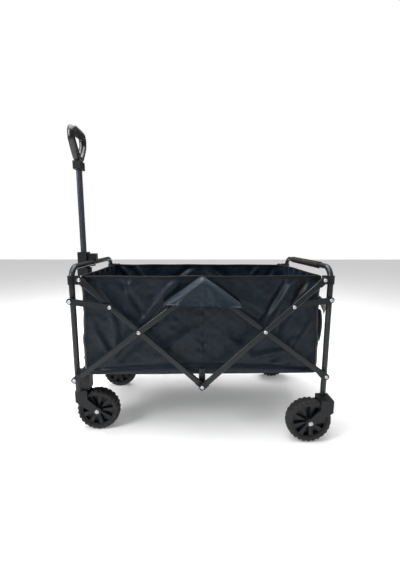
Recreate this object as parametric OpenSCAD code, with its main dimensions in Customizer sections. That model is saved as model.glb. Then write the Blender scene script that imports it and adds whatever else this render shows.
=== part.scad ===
// Folding utility wagon: two tube end hoops, scissor side braces, a fabric tub,
// two swivel casters, two fixed wheels and a telescoping pull handle.
// X runs from the handle end to the rear, Y across, Z up from the ground.

/* [Overall frame] */
// Distance between the front and rear posts, centre to centre
frame_len = 864; // [720:1:1040]
// Distance between the near and far posts, centre to centre
frame_wid = 482; // [410:1:580]
// Height of the hoops' top bars above the ground
hoop_z = 619; // [600:1:700]
// Radius of the bent corners of the hoops, at the tube's centre
bend_r = 46; // [30:1:60]
// Outer radius of the frame tubes
tube_r = 9.5; // [8:0.5:11]
// Wall of the frame tubes
tube_wall = 1.2; // [0.8:0.1:2]
// Bottom of the front posts
front_post_z = 186; // [176:1:200]

/* [Scissor braces] */
// Height of the lower pivots on the posts
low_pivot_z = 239; // [230:1:260]
// Height of the middle pivot of the lower braces
top_mid_z = 564; // [540:1:580]
// Height of the middle pivot of the upper braces
low_mid_z = 210; // [200:1:220]
// Height of the upper braces' top pins
top_pin_z = 580; // [560:1:595]
// Distance of the top pins inboard of the posts
top_pin_in = 31; // [28:1:40]
// Height of the side links' pivots on the posts
link_z = 511; // [490:1:530]
// How far inboard the side links reach
link_reach = 128; // [100:1:150]
// Width of a brace, in the side plane
brace_w = 20; // [16:1:24]
// Thickness of a brace, across the cart
brace_t = 9; // [7:0.5:11]
// Thickness of the moulded brace ends
eye_t = 10; // [8:0.5:12]
// Length of the moulded brace ends, from the pivot
eye_len = 24; // [18:1:32]
// Gap between the two layers of braces
layer_gap = 1.2; // [0.6:0.1:2]

/* [Rivets] */
// Radius of a rivet's shank
rivet_r = 3; // [2.5:0.1:4]
// Radius of a rivet's head
rivet_head_r = 6.2; // [5:0.1:8]
// Height of a rivet's head
rivet_head_h = 2.6; // [2:0.1:4]
// Clearance round a shank that something turns on
pivot_clear = 0.05; // [0.02:0.01:0.1]
// Clearance round the pivot at the middle of the upper braces
slack = 3.2; // [2.5:0.1:3.5]

/* [Fabric tub] */
// Height of the tub's bottom
tub_z = 239; // [238:1:250]
// Height of the tub's rim
rim_z = 588; // [560:1:600]
// Gap between a post's centre line and the rim's end
rim_in = 36; // [34:1:50]
// Gap between a post's centre line and the tub's bottom end
base_in = 14; // [12:1:24]
// Gap between the posts' centre plane and the tub's side
side_in = 13; // [12:0.5:20]
// Wall of the tub's fabric, with its padding
tub_wall = 3; // [2:0.5:5]
// Thickness of the floor boards
board_t = 5; // [3:0.5:8]
// Number of floor boards
board_count = 4; // [4:2:6]
// Gap between floor boards, where the floor folds
board_gap = 4; // [2:0.5:8]

/* [Wheels] */
// Radius of a tyre
wheel_r = 79; // [70:1:82]
// Width of a tyre
tyre_w = 42; // [34:1:46]
// Radius where the tyre meets the rim
rim_r = 60; // [52:1:62]
// Distance of the axles from the stems
trail = 55; // [50:1:62]
// Radius of an axle
axle_r = 5; // [4:0.5:6]
// Distance of the rear wheels' middle outboard of the posts
rear_track_out = 15; // [10:1:18]
// Distance of the front wheels' middle inboard of the posts
front_track_in = 73; // [60:1:90]
// Distance of the front stems ahead of the posts
stem_ahead = 10; // [6:1:14]
// Number of spoke blades
spokes = 9; // [7:1:12]

/* [Forks] */
// Width of a fork's crown, along the cart
crown_w = 44; // [38:1:48]
// Height of the top of the crowns
crown_z = 162; // [160:1:168]
// Thickness of a fork's side plates
fork_t = 5; // [4:0.5:7]
// Gap between a side plate and the tyre
fork_clear = 3; // [2:0.5:5]

/* [Handle] */
// Distance of the handle ahead of the front posts
handle_ahead = 41; // [38:1:46]
// Height of the handle's pivot
handle_pivot_z = 222; // [214:1:232]
// Radius of the inner handle tubes
inner_r = 7.5; // [6:0.5:8]
// Radius of the outer handle tubes
outer_r = 9; // [8.6:0.1:10]
// Half the spacing of the twin tubes
twin_y = 11; // [10:0.5:14]
// Top of the outer tubes
outer_top_z = 640; // [630:1:645]
// Bottom of the inner tubes
inner_low_z = 542; // [530:1:560]
// Bottom of the grip's socket
socket_z = 976; // [940:1:1010]
// Height of the grip above its socket's bottom
grip_h = 153; // [130:1:170]
// Width of the grip, at the middle of its sides
grip_w = 118; // [100:1:140]
// Width of the collar's foot, along the cart
collar_w = 41; // [38:1:46]

/* [Hidden] */
$fn = 48;

tiny = 0.01;
post_y = frame_wid / 2;
// The collar's foot is the foremost point and the rear crowns are the rearmost one.
shift_x = (handle_ahead + collar_w / 2 - crown_w / 2) / 2;
front_x = -frame_len / 2 + shift_x;
rear_x = frame_len / 2 + shift_x;
mid_x = shift_x;
handle_x = front_x - handle_ahead;
stem_x = front_x - stem_ahead;
front_wheel_y = post_y - front_track_in;
rear_wheel_y = post_y + rear_track_out;

// Layers of the side braces, measured across the cart
seat_gap = 0.6;
inner_y = post_y + tube_r + seat_gap + eye_t / 2;
outer_y = inner_y + eye_t + layer_gap;
head_gap = 0.2;

// Where the braces cross, from the front post: lower brace up, upper brace down
half_len = frame_len / 2;
low_slope = (top_mid_z - low_pivot_z) / half_len;
top_slope = (top_pin_z - low_mid_z) / (half_len - top_pin_in);
cross_in = half_len - (top_mid_z - low_mid_z) / (low_slope + top_slope);
cross_z = low_pivot_z + low_slope * cross_in;
link_tip_z = low_mid_z + top_slope * (half_len - link_reach);

bar_z = low_pivot_z - tube_r - 1;
crossbar_end = post_y - tube_r;
housing_w = 40;
caster_gap = 1;
fork_in = tyre_w / 2 + fork_clear;
fork_out = fork_in + fork_t;
stem_r = 6;
wheel_gap = 3;
board_z = tub_z + tub_wall;
catch_t = 14;
hanger_t = 3;
hanger_y = inner_y - eye_t / 2 - 9;
cross_tube_r = 6;
cross_tube_z = tub_z - cross_tube_r - 0.3;
bracket_y = 30;

module both_sides() {
  children();
  mirror([0, 1, 0]) children();
}

module rod_y(r, from_y, to_y) {
  translate([0, from_y, 0]) rotate([-90, 0, 0]) cylinder(r = r, h = to_y - from_y);
}

// A flat oval, wide along its second axis
module oval(t, w) {
  square([t, w - t], center = true);
  for (s = [-1, 1]) translate([0, s * (w - t) / 2]) circle(d = t);
}

// Puts its children on a line from one point of the side plane to another, along +X
module along(from, to, y) {
  ang = atan2(to[1] - from[1], to[0] - from[0]);
  translate([from[0], y, from[1]]) rotate([0, -ang, 0]) children();
}

function span(from, to) = norm([to[0] - from[0], to[1] - from[1]]);

// A flat-oval brace tube between two moulded ends, bored where it crosses another
module brace(from, to, y, bore_at) {
  total = span(from, to);
  color([0.07, 0.08, 0.10]) along(from, to, y) difference() {
    translate([eye_len, 0, 0]) rotate([90, 0, 90]) linear_extrude(total - 2 * eye_len) difference() {
      oval(brace_t, brace_w);
      oval(brace_t - 2 * tube_wall, brace_w - 2 * tube_wall);
    }
    for (s = bore_at) translate([s, 0, 0]) rod_y(rivet_r + pivot_clear, -eye_t, eye_t);
  }
}

// A moulded end: a round eye on the pivot and a plug that fills the tube
module brace_eye(from, to, y, bore_r) {
  plug = 16;
  color([0.09, 0.09, 0.10]) along(from, to, y) difference() {
    union() {
      rod_y(brace_w / 2 + 0.5, -eye_t / 2, eye_t / 2);
      translate([0, -eye_t / 2, -brace_w / 2 - 0.5]) cube([eye_len - 0.1, eye_t, brace_w + 1]);
      translate([eye_len - 1, 0, 0]) rotate([90, 0, 90]) linear_extrude(plug)
        oval(brace_t - 2 * tube_wall - 0.2, brace_w - 2 * tube_wall - 0.2);
    }
    rod_y(bore_r, -eye_t, eye_t);
  }
}

// A rivet along Y with a dished head at its outer end, and at its inner end if asked
module rivet(x, z, from_y, to_y, inner_head = false) {
  color([0.78, 0.78, 0.80]) translate([x, 0, z]) {
    rod_y(rivet_r, from_y, to_y + head_gap + tiny);
    translate([0, to_y + head_gap, 0]) rivet_head();
    if (inner_head) translate([0, from_y + tiny, 0]) mirror([0, 1, 0]) rivet_head();
  }
}

module rivet_head() {
  rotate([-90, 0, 0]) rotate_extrude() polygon([
    [0, 0], [rivet_head_r, 0], [rivet_head_r, rivet_head_h * 0.35],
    [rivet_head_r * 0.8, rivet_head_h * 0.85], [rivet_head_r * 0.5, rivet_head_h],
    [rivet_head_r * 0.25, rivet_head_h * 0.7], [0, rivet_head_h * 0.7]
  ]);
}

// The outline of a hoop: two legs, two bends and a top bar, as one solid of radius r
module hoop_core(x, low_z, r) {
  leg_h = hoop_z - bend_r - low_z;
  bar_half = post_y - bend_r;
  both_sides() {
    translate([x, post_y, low_z]) cylinder(r = r, h = leg_h);
    translate([x, bar_half, hoop_z - bend_r]) rotate([90, 0, 90])
      rotate_extrude(angle = 90) translate([bend_r, 0]) circle(r = r);
  }
  translate([x, 0, hoop_z]) rod_y(r, -bar_half, bar_half);
}

module hoop(x, low_z, holes) {
  color([0.08, 0.09, 0.11]) difference() {
    hoop_core(x, low_z, tube_r);
    hoop_core(x, low_z - tiny, tube_r - tube_wall);
    both_sides() for (z = holes) translate([x, 0, z])
      rod_y(rivet_r + pivot_clear, post_y, post_y + 2 * tube_r);
  }
}

module crossbar(x) {
  color([0.08, 0.09, 0.11]) translate([x, 0, bar_z]) difference() {
    rod_y(tube_r, -crossbar_end, crossbar_end);
    rod_y(tube_r - tube_wall, -crossbar_end - 1, crossbar_end + 1);
  }
}

// A catch moulded round the inboard side of a post, with an open-topped notch for the top pin
module catch_block(x, inboard) {
  pin_x = inboard * top_pin_in;
  low = 17;
  high = 12;
  notch_r = rivet_r + 0.9;
  color([0.05, 0.05, 0.06]) difference() {
    translate([x, post_y, top_pin_z]) {
      translate([min(0, pin_x + inboard * 12), -catch_t / 2, -low])
        cube([abs(pin_x) + 12, catch_t, low + high]);
      translate([0, 0, -low]) cylinder(r = tube_r + 3, h = low + high);
    }
    hoop_core(x, front_post_z, tube_r + 0.05);
    translate([x + pin_x, post_y, top_pin_z]) {
      rod_y(notch_r, -catch_t, catch_t);
      translate([-notch_r, -catch_t, 0]) cube([2 * notch_r, 2 * catch_t, high + 1]);
    }
  }
}

// A fork with its stem at the origin; its crown is cut back round the tyre
module fork(reach) {
  crown_low = crown_z - 44;
  nose = 13;
  turn = reach < 0 ? 1 : 0;
  color([0.07, 0.07, 0.08]) mirror([turn, 0, 0]) difference() {
    union() {
      translate([-crown_w / 2, -fork_out, crown_low]) cube([crown_w, 2 * fork_out, crown_z - crown_low]);
      for (s = [-1, 1]) translate([0, s * (fork_in + fork_t / 2), 0]) {
        rotate([90, 0, 0]) translate([0, 0, -fork_t / 2]) linear_extrude(fork_t) polygon([
          [-crown_w / 2, crown_low], [trail - nose * 0.6, wheel_r - nose * 0.8],
          [trail + nose * 0.85, wheel_r + nose * 0.5], [crown_w / 2, crown_low + 10]
        ]);
        translate([trail, 0, wheel_r]) rod_y(nose + 3, -fork_t / 2, fork_t / 2);
      }
    }
    translate([trail, 0, wheel_r]) rod_y(wheel_r + wheel_gap, -fork_in, fork_in);
    translate([trail, 0, wheel_r]) rod_y(axle_r + pivot_clear, -fork_out - 1, fork_out + 1);
  }
}

module axle(x, y) {
  head = 3;
  color([0.80, 0.80, 0.82]) translate([x, y, wheel_r]) {
    rod_y(axle_r, -fork_out - 0.3, fork_out + 0.3);
    both_sides() translate([0, fork_out + 0.2, 0]) rotate([-90, 0, 0]) rotate_extrude() polygon([
      [0, 0], [axle_r + 3, 0], [axle_r + 3, head * 0.5], [axle_r + 1, head], [2, head], [1.5, head * 0.7], [0, head * 0.7]
    ]);
  }
}

// A moulded wheel centre: a rim ring, a web, a hub and blades on both faces
module rim(x, y) {
  half = tyre_w / 2 - 6;
  hub_r = 15;
  lip = 4;
  blade_len = rim_r - lip / 2 - hub_r + 4;
  color([0.08, 0.08, 0.09]) translate([x, y, wheel_r]) difference() {
    union() {
      rod_y(hub_r, -tyre_w / 2 - 1, tyre_w / 2 + 1);
      rod_y(rim_r - lip + 1, -3, 3);
      difference() {
        rod_y(rim_r, -half, half);
        rod_y(rim_r - lip, -half - 1, half + 1);
      }
      for (k = [0 : spokes - 1]) rotate([0, k * 360 / spokes, 0]) translate([hub_r - 4, 0, 0])
        rotate([90, 0, 0]) linear_extrude(2 * half - 2, center = true)
          polygon([[0, -3], [blade_len, -9], [blade_len, 9], [0, 3]]);
    }
    rod_y(axle_r + pivot_clear, -tyre_w, tyre_w);
  }
}

// A soft tyre with rounded shoulders, on the rim
module tyre(x, y) {
  half = tyre_w / 2;
  shoulder = 9;
  color([0.06, 0.06, 0.07]) translate([x, y, wheel_r]) rotate([90, 0, 0]) rotate_extrude($fn = 96) polygon([
    [rim_r + 0.05, -half + 5], [rim_r + 4, -half], [wheel_r - shoulder, -half], [wheel_r - 2, -half + shoulder * 0.6],
    [wheel_r, -half + shoulder + 2], [wheel_r, half - shoulder - 2], [wheel_r - 2, half - shoulder * 0.6],
    [wheel_r - shoulder, half], [rim_r + 4, half], [rim_r + 0.05, half - 5]
  ]);
}

// The tub's outline at a given inset, as a block that is longer at its bottom
module tub_block(inset, low_z) {
  top_half = half_len - rim_in - inset;
  base_half = half_len - base_in - inset;
  side = post_y - side_in - inset;
  translate([mid_x, side, 0]) rotate([90, 0, 0]) linear_extrude(2 * side) polygon([
    [-base_half, low_z], [base_half, low_z], [top_half, rim_z + (inset > 0 ? 1 : 0)],
    [-top_half, rim_z + (inset > 0 ? 1 : 0)]
  ]);
}

module front_hoop() hoop(front_x, front_post_z, [low_pivot_z, link_z]);
module rear_hoop() hoop(rear_x, crown_z - 6, [low_pivot_z, link_z]);
module front_crossbar() crossbar(front_x);
module rear_crossbar() crossbar(rear_x);
module front_catches() both_sides() catch_block(front_x, 1);
module rear_catches() both_sides() catch_block(rear_x, -1);

// Caps that close the front posts' open ends
module front_post_caps() {
  color([0.12, 0.13, 0.14]) both_sides() translate([front_x, post_y, front_post_z]) {
    translate([0, 0, -3]) cylinder(r = tube_r + 0.8, h = 2.95);
    translate([0, 0, -1]) cylinder(r = tube_r - tube_wall - 0.1, h = 18);
  }
}

module front_rivets() both_sides() {
  rivet(front_x, low_pivot_z, post_y, outer_y + eye_t / 2);
  rivet(front_x, link_z, post_y, outer_y + eye_t / 2);
}

module rear_rivets() both_sides() {
  rivet(rear_x, low_pivot_z, post_y, inner_y + eye_t / 2);
  rivet(rear_x, link_z, post_y, inner_y + eye_t / 2);
}

// Bushes that hold the outer layer off the front posts
module front_spacers() {
  color([0.05, 0.05, 0.06]) both_sides() for (z = [low_pivot_z, link_z]) translate([front_x, 0, z]) difference() {
    rod_y(rivet_head_r + 1.5, post_y + tube_r + 0.1, outer_y - eye_t / 2 - 0.3);
    rod_y(rivet_r + pivot_clear, post_y, outer_y);
  }
}

// Housings that clip round the crossbar and hold the caster stems
module caster_housings() {
  low = crown_z + caster_gap;
  color([0.07, 0.07, 0.08]) both_sides() difference() {
    union() {
      translate([stem_x - housing_w / 2, front_wheel_y - housing_w / 2, low])
        cube([housing_w + stem_ahead, housing_w, bar_z - low]);
      translate([front_x, 0, bar_z]) rod_y(tube_r + 4, front_wheel_y - housing_w / 2, front_wheel_y + housing_w / 2);
    }
    translate([front_x, 0, bar_z]) rod_y(tube_r + 0.05, front_wheel_y - housing_w, front_wheel_y + housing_w);
    translate([stem_x, front_wheel_y, low - 1]) cylinder(r = stem_r + pivot_clear, h = bar_z - low - tube_r - 3);
  }
}

// Two ears on a saddle that clips round the crossbar and carries the handle's pin
module handle_bracket() {
  ear = 5;
  color([0.06, 0.06, 0.07]) difference() {
    union() {
      translate([front_x, 0, bar_z]) rod_y(tube_r + 4, -bracket_y, bracket_y);
      for (s = [-1, 1]) translate([0, s * (bracket_y - ear / 2), 0]) {
        translate([handle_x, -ear / 2, handle_pivot_z - 14]) cube([handle_ahead, ear, 24]);
        translate([handle_x, 0, handle_pivot_z]) rod_y(14, -ear / 2, ear / 2);
      }
    }
    translate([front_x, 0, bar_z]) rod_y(tube_r + 0.05, -bracket_y - 1, bracket_y + 1);
    translate([handle_x, 0, handle_pivot_z]) rod_y(4 + pivot_clear, -bracket_y - 1, bracket_y + 1);
  }
}

module handle_pin() {
  color([0.75, 0.75, 0.78]) translate([handle_x, 0, handle_pivot_z]) {
    rod_y(4, -bracket_y - 0.5, bracket_y + 0.5);
    both_sides() rod_y(7, bracket_y + 0.3, bracket_y + 3);
  }
}

module tub() {
  color([0.06, 0.07, 0.09]) difference() {
    tub_block(0, tub_z);
    tub_block(tub_wall, board_z);
  }
}

module floor_boards() {
  inner_half = half_len - base_in - tub_wall - 2;
  board_len = (2 * inner_half - (board_count - 1) * board_gap) / board_count;
  half_y = post_y - side_in - tub_wall - 1;
  color([0.10, 0.10, 0.11]) for (k = [0 : board_count - 1])
    translate([mid_x - inner_half + k * (board_len + board_gap), -half_y, board_z + 0.1])
      cube([board_len, 2 * half_y, board_t]);
}

// Pivot points of the near front quarter, as side-plane pairs
function low_pivot(side) = [side * half_len + mid_x, low_pivot_z];
function top_pin(side) = [side * (half_len - top_pin_in) + mid_x, top_pin_z];
function cross(side) = [side * (half_len - cross_in) + mid_x, cross_z];
function link_pivot(side) = [side * half_len + mid_x, link_z];
function link_tip(side) = [side * (half_len - link_reach) + mid_x, link_tip_z];
top_mid = [mid_x, top_mid_z];
low_mid = [mid_x, low_mid_z];

module lower_brace(side, y) brace(low_pivot(side), top_mid, y, [span(low_pivot(side), cross(side))]);
module upper_brace(side, y, bores) brace(top_pin(side), low_mid, y, bores);

module lower_brace_front_near() mirror([0, 1, 0]) lower_brace(-1, outer_y);
module lower_brace_front_far() lower_brace(-1, outer_y);
module lower_brace_rear_near() mirror([0, 1, 0]) lower_brace(1, inner_y);
module lower_brace_rear_far() lower_brace(1, inner_y);
module upper_brace_front_near() mirror([0, 1, 0]) upper_brace(-1, inner_y, [span(top_pin(-1), cross(-1))]);
module upper_brace_front_far() upper_brace(-1, inner_y, [span(top_pin(-1), cross(-1))]);
module upper_brace_rear_near() mirror([0, 1, 0])
  upper_brace(1, outer_y, [span(top_pin(1), cross(1)), span(top_pin(1), link_tip(1))]);
module upper_brace_rear_far()
  upper_brace(1, outer_y, [span(top_pin(1), cross(1)), span(top_pin(1), link_tip(1))]);

module lower_ends(side, y) both_sides() {
  brace_eye(low_pivot(side), top_mid, y, rivet_r + pivot_clear);
  brace_eye(top_mid, low_pivot(side), y, rivet_r + pivot_clear);
}

module upper_ends(side, y, low_bore) both_sides() {
  brace_eye(top_pin(side), low_mid, y, rivet_r + pivot_clear);
  brace_eye(low_mid, top_pin(side), y, low_bore);
}

module lower_front_ends() lower_ends(-1, outer_y);
module lower_rear_ends() lower_ends(1, inner_y);
module upper_front_ends() upper_ends(-1, inner_y, rivet_r + slack);
module upper_rear_ends() upper_ends(1, outer_y, rivet_r + pivot_clear);

// Crossing rivets, and at the front the rivet that joins the lower braces in the middle
module lower_front_rivets() both_sides() {
  rivet(cross(-1)[0], cross_z, inner_y - eye_t / 2 - 0.2, outer_y + eye_t / 2, true);
  rivet(mid_x, top_mid_z, inner_y - eye_t / 2 - 0.2, outer_y + eye_t / 2, true);
}

module lower_rear_rivets() both_sides()
  rivet(cross(1)[0], cross_z, inner_y - eye_t / 2 - 0.2, outer_y + eye_t / 2, true);

// Pins at the upper braces' top ends, which rest in the catches
module upper_front_pins() both_sides()
  rivet(top_pin(-1)[0], top_pin_z, post_y - 4, inner_y + eye_t / 2);

module upper_rear_pins() both_sides() {
  rivet(top_pin(1)[0], top_pin_z, post_y - 4, outer_y + eye_t / 2);
  rivet(link_tip(1)[0], link_tip_z, outer_y - eye_t / 2, outer_y + eye_t / 2);
  rivet(mid_x, low_mid_z, hanger_y - hanger_t / 2 - 1, outer_y + eye_t / 2);
}

// A short flat link with round ends, bored at its post
module link(side, y) {
  thick = 5;
  reach = span(link_pivot(side), link_tip(side));
  color([0.07, 0.08, 0.10]) along(link_pivot(side), link_tip(side), y) difference() {
    union() {
      for (s = [0, reach]) translate([s, 0, 0]) rod_y(brace_w / 2, -thick / 2, thick / 2);
      translate([0, -thick / 2, -brace_w / 2]) cube([reach, thick, brace_w]);
    }
    for (s = [0, reach]) translate([s, 0, 0]) rod_y(rivet_r + pivot_clear, -thick, thick);
  }
}

module links_front() both_sides() link(-1, outer_y);
module links_rear() both_sides() link(1, inner_y);
module link_rivets() both_sides()
  rivet(link_tip(-1)[0], link_tip_z, outer_y - 3.4, outer_y + 2.5, true);

// Plates that hang the floor's middle tube beside the middle pivot
module floor_hangers() both_sides() {
  top = tub_z + 26;
  color([0.08, 0.08, 0.09]) translate([mid_x, hanger_y, 0]) difference() {
    union() {
      translate([0, 0, low_mid_z]) rod_y(11, -hanger_t / 2, hanger_t / 2);
      translate([-11, -hanger_t / 2, low_mid_z]) cube([22, hanger_t, top - low_mid_z]);
    }
    translate([0, 0, low_mid_z]) rod_y(rivet_r + pivot_clear, -hanger_t, hanger_t);
    translate([0, 0, cross_tube_z]) rod_y(cross_tube_r + 0.05, -hanger_t, hanger_t);
  }
  color([0.45, 0.45, 0.46]) translate([mid_x, hanger_y + hanger_t / 2 - tiny, tub_z + 15]) rivet_head();
}

module floor_cross_tube() {
  color([0.08, 0.09, 0.11]) translate([mid_x, 0, cross_tube_z])
    rod_y(cross_tube_r, -hanger_y - hanger_t / 2, hanger_y + hanger_t / 2);
}

// A soft sleeve on the rear bar
module rear_grip() {
  half = 150;
  color([0.09, 0.08, 0.07]) translate([rear_x, 0, hoop_z]) difference() {
    rod_y(tube_r + 3.5, -half, half);
    rod_y(tube_r + 0.05, -half - 1, half + 1);
  }
}

// The rear forks hold the posts in their crowns
module rear_fork_far() difference() {
  translate([rear_x, rear_wheel_y, 0]) fork(-1);
  translate([rear_x, post_y, crown_z - 6]) cylinder(r = tube_r + 0.05, h = 20);
}
module rear_fork_near() mirror([0, 1, 0]) rear_fork_far();
module rear_axles() both_sides() axle(rear_x - trail, rear_wheel_y);

module front_fork_far() difference() {
  translate([stem_x, front_wheel_y, 0]) fork(1);
  translate([stem_x, front_wheel_y, crown_z - 8]) cylinder(r = stem_r + 0.05, h = 20);
}
module front_fork_near() mirror([0, 1, 0]) front_fork_far();

module front_stem_far() {
  color([0.6, 0.6, 0.62]) translate([stem_x, front_wheel_y, crown_z - 8])
    cylinder(r = stem_r, h = bar_z - tube_r - crown_z);
}
module front_stem_near() mirror([0, 1, 0]) front_stem_far();
module front_axle_far() axle(stem_x + trail, front_wheel_y);
module front_axle_near() axle(stem_x + trail, -front_wheel_y);

module rim_front_near() rim(stem_x + trail, -front_wheel_y);
module rim_front_far() rim(stem_x + trail, front_wheel_y);
module rim_rear_near() rim(rear_x - trail, -rear_wheel_y);
module rim_rear_far() rim(rear_x - trail, rear_wheel_y);
module tyre_front_near() tyre(stem_x + trail, -front_wheel_y);
module tyre_front_far() tyre(stem_x + trail, front_wheel_y);
module tyre_rear_near() tyre(rear_x - trail, -rear_wheel_y);
module tyre_rear_far() tyre(rear_x - trail, rear_wheel_y);

// The block at the handle's foot, turning on the pin between the bracket's ears
module handle_base() {
  half_y = bracket_y - 5.5;
  low_r = 12;
  color([0.07, 0.07, 0.08]) difference() {
    union() {
      translate([handle_x, 0, handle_pivot_z]) rod_y(low_r, -half_y, half_y);
      translate([handle_x - low_r, -half_y, handle_pivot_z]) cube([2 * low_r, 2 * half_y, 36]);
    }
    translate([handle_x, 0, handle_pivot_z]) rod_y(4 + pivot_clear, -half_y - 1, half_y + 1);
    both_sides() translate([handle_x, twin_y, handle_pivot_z + 14]) cylinder(r = outer_r + 0.05, h = 40);
  }
}

module handle_outer_tubes() {
  low = handle_pivot_z + 14;
  color([0.10, 0.10, 0.12]) both_sides() translate([handle_x, twin_y, low]) difference() {
    cylinder(r = outer_r, h = outer_top_z - low);
    translate([0, 0, -1]) cylinder(r = inner_r + 0.1, h = outer_top_z - low + 2);
  }
}

// The collar on the outer tubes' tops, its foot, and the hook that snaps round the hoop's bar
module handle_collar() {
  top = outer_top_z + 19;
  collar_x = 35;
  collar_y = 48;
  foot_z = hoop_z - 53;
  hook_half = 13;
  hook_r = tube_r + 0.4;
  hook_low = hoop_z - hook_r - 6;
  color([0.06, 0.06, 0.07]) difference() {
    union() {
      translate([handle_x - collar_x / 2, -collar_y / 2, hoop_z - 17]) cube([collar_x, collar_y, top - hoop_z + 17]);
      translate([handle_x - collar_w / 2, -collar_y / 2 - 2, foot_z]) cube([collar_w, collar_y + 4, 30]);
      translate([handle_x - 14, -collar_y / 2, foot_z + 20]) cube([28, collar_y, 30]);
      translate([handle_x + collar_x / 2 - 2, -hook_half, hook_low])
        cube([handle_ahead - collar_x / 2 + 13, 2 * hook_half, 50]);
    }
    translate([front_x, 0, hoop_z]) {
      rod_y(hook_r, -hook_half - 1, hook_half + 1);
      translate([0, -hook_half - 1, -hook_r - 7]) cube([20, 2 * hook_half + 2, 2 * hook_r + 7]);
    }
    both_sides() translate([handle_x, twin_y, foot_z - 1]) {
      cylinder(r = outer_r + 0.05, h = outer_top_z - foot_z + 1.1);
      cylinder(r = inner_r + 0.1, h = top - foot_z + 3);
    }
  }
}

module handle_inner_tubes() {
  color([0.33, 0.34, 0.38]) both_sides() translate([handle_x, twin_y, inner_low_z]) difference() {
    cylinder(r = inner_r, h = socket_z + 24 - inner_low_z);
    translate([0, 0, -1]) cylinder(r = inner_r - tube_wall, h = socket_z + 26 - inner_low_z);
  }
}

module grip_socket() {
  color([0.07, 0.07, 0.08]) difference() {
    translate([handle_x - 15, -twin_y - 13, socket_z]) cube([30, 2 * twin_y + 26, 30]);
    both_sides() translate([handle_x, twin_y, socket_z - 1]) cylinder(r = inner_r + 0.05, h = 25.1);
  }
}

// A D-shaped grip: two limbs that spread from the socket and the bar between them
module handle_grip() {
  low = socket_z + 30.1;
  bar_r = 15;
  bar_mid = socket_z + grip_h - bar_r;
  limb_r = 11;
  color([0.06, 0.06, 0.07]) translate([handle_x, 0, 0]) {
    both_sides() {
      hull() {
        translate([0, grip_w / 2, low + 70]) sphere(r = limb_r, $fn = 24);
        translate([0, 11, low]) cylinder(r = limb_r + 2, h = 1, $fn = 24);
      }
      hull() {
        translate([0, grip_w / 2, low + 70]) sphere(r = limb_r, $fn = 24);
        translate([0, grip_w / 2 - 6, bar_mid]) sphere(r = bar_r, $fn = 24);
      }
    }
    translate([0, 0, bar_mid]) rod_y(bar_r, 6 - grip_w / 2, grip_w / 2 - 6);
  }
}

front_hoop();
front_crossbar();
front_post_caps();
front_catches();
front_rivets();
front_spacers();
caster_housings();
handle_bracket();
handle_pin();
tub();
floor_boards();
lower_brace_front_near();
lower_brace_front_far();
lower_front_ends();
lower_front_rivets();
lower_brace_rear_near();
lower_brace_rear_far();
lower_rear_ends();
lower_rear_rivets();
upper_brace_front_near();
upper_brace_front_far();
upper_front_ends();
upper_front_pins();
upper_brace_rear_near();
upper_brace_rear_far();
upper_rear_ends();
upper_rear_pins();
links_front();
link_rivets();
links_rear();
floor_hangers();
floor_cross_tube();
rear_hoop();
rear_crossbar();
rear_catches();
rear_rivets();
rear_grip();
rear_fork_near();
rear_fork_far();
rear_axles();
front_fork_near();
front_fork_far();
front_stem_near();
front_stem_far();
front_axle_near();
front_axle_far();
rim_front_near();
rim_front_far();
rim_rear_near();
rim_rear_far();
tyre_front_near();
tyre_front_far();
tyre_rear_near();
tyre_rear_far();
handle_base();
handle_outer_tubes();
handle_collar();
handle_inner_tubes();
grip_socket();
handle_grip();
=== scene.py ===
"""A folding utility wagon with a fabric tub, scissor side braces, two casters, two fixed wheels
and a telescoping pull handle, standing open on a pale studio floor. All lengths are in metres."""

import math

import bpy
import numpy as np
from mathutils import Matrix, Vector


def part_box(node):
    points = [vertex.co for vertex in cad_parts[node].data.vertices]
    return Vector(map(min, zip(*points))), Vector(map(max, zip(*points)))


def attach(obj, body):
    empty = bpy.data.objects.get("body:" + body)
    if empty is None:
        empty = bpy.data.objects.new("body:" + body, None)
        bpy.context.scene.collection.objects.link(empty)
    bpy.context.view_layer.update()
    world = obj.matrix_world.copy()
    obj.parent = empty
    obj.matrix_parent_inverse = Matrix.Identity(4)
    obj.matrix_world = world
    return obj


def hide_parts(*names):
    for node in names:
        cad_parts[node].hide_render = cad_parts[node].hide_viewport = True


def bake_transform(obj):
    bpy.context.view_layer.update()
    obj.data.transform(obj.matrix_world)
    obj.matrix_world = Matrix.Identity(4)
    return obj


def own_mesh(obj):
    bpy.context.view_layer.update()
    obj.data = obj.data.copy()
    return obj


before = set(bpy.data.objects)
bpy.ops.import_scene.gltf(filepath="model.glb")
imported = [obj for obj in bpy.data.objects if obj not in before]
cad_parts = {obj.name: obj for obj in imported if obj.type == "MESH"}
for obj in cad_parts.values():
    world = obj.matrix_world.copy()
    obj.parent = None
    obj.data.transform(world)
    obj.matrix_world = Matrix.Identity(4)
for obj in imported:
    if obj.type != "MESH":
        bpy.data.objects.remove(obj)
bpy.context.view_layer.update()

# ---------------------------------------------------------------- Camera
# It looks at the near side from a little above the tub's rim, and slightly down. The numbers
# are the standing place, the three turns and a mild wide-angle lens.

camera_at = Vector((-0.0112, -1.2308, 0.7149))
camera_yaw = math.radians(1.3426)
camera_pitch = math.radians(8.858)
camera_roll = math.radians(0.12)

forward = Vector((
    math.sin(camera_yaw) * math.cos(camera_pitch),
    math.cos(camera_yaw) * math.cos(camera_pitch),
    -math.sin(camera_pitch),
))
level_right = Vector((math.cos(camera_yaw), -math.sin(camera_yaw), 0))
level_up = level_right.cross(forward)
right = math.cos(camera_roll) * level_right + math.sin(camera_roll) * level_up
up = math.cos(camera_roll) * level_up - math.sin(camera_roll) * level_right

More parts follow.
